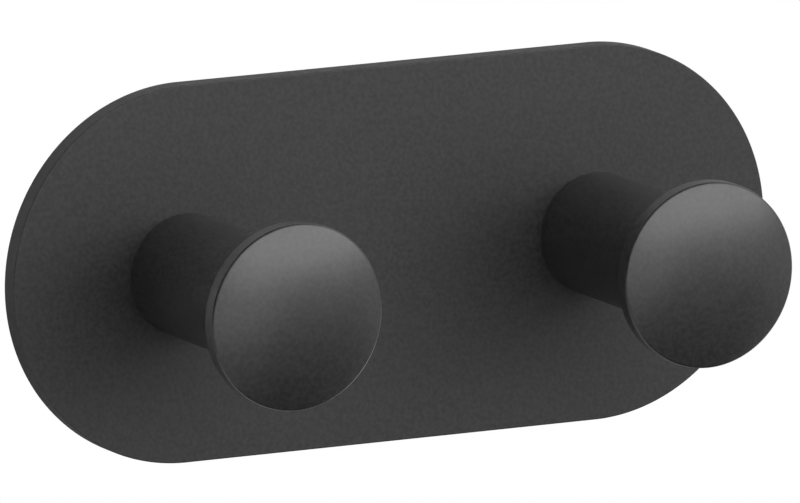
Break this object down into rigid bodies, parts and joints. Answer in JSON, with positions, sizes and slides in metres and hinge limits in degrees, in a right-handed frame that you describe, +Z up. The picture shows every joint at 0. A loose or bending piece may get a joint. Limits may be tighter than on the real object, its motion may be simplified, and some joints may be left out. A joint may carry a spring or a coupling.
{
  "type": "wall hook",
  "caption": "Matt black double wall hook: a pill-shaped stick-on plate with round mushroom pegs for towels, coats or keys.",
  "frame": {"origin": "middle of the mounting tape's back face, on the wall", "axes": "+X to the right along the plate, +Z up, +Y into the wall, so the pegs point along -Y"},
  "size_m": [0.11, 0.0375, 0.05],
  "materials": {
    "plate_coat": "fine matt black powder coat",
    "peg_coat": "smooth satin black powder coat",
    "screw_steel": "plain turned steel",
    "tape_foam": "dull closed-cell foam"
  },
  "bodies": {
    "root": {"back_plate": "plate_coat", "left_peg": "peg_coat", "right_peg": "peg_coat", "peg_screws": "screw_steel", "mounting_tape": "tape_foam"}
  },
  "joints": []
}
